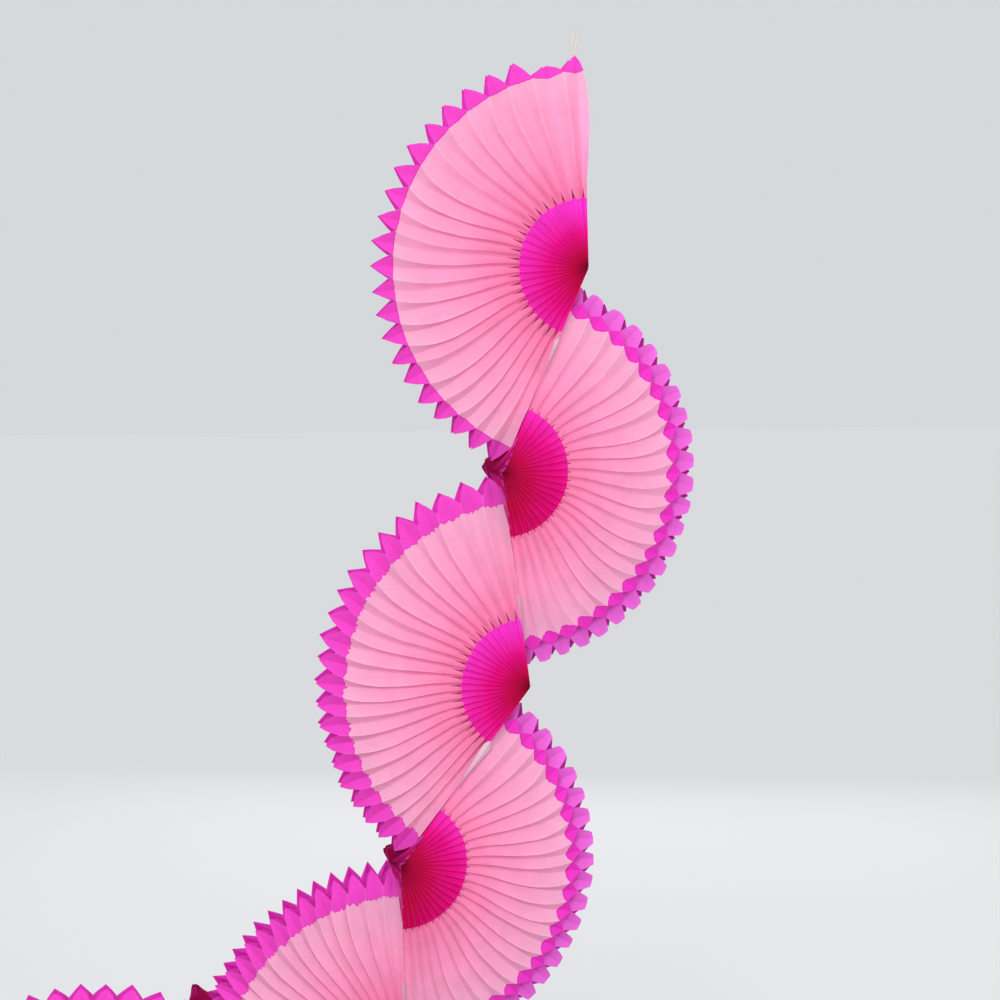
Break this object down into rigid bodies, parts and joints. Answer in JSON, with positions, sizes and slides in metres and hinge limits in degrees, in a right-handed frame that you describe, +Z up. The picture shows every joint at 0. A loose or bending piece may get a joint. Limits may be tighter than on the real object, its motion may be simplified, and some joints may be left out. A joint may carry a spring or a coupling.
{
  "type": "paper honeycomb streamer",
  "caption": "Tissue paper honeycomb streamer: open half-round fans of pink leaves with a darker hub and a magenta toothed rim, joined edge to edge in a serpentine, with a string loop.",
  "frame": {"origin": "the point under the hanging loop's arch that rests on a hook", "axes": "+Z up, +Y from the front of the streamer to its back, +X to the right as seen from the front"},
  "size_m": [0.7075, 0.052, 1.0563],
  "materials": {
    "hub_tissue": "matt",
    "body_tissue": "matt",
    "rim_tissue": "matt",
    "string": "matt"
  },
  "bodies": {
    "root": {"hub_1": "hub_tissue", "body_1": "body_tissue", "rim_1": "rim_tissue", "hub_2": "hub_tissue", "body_2": "body_tissue", "rim_2": "rim_tissue", "hub_3": "hub_tissue", "body_3": "body_tissue", "rim_3": "rim_tissue", "hub_4": "hub_tissue", "body_4": "body_tissue", "rim_4": "rim_tissue", "hub_5": "hub_tissue", "body_5": "body_tissue", "rim_5": "rim_tissue", "hub_6": "hub_tissue", "body_6": "body_tissue", "rim_6": "rim_tissue", "hub_7": "hub_tissue", "body_7": "body_tissue", "rim_7": "rim_tissue", "hang_loop": "string", "loop_knot": "string"}
  },
  "joints": []
}
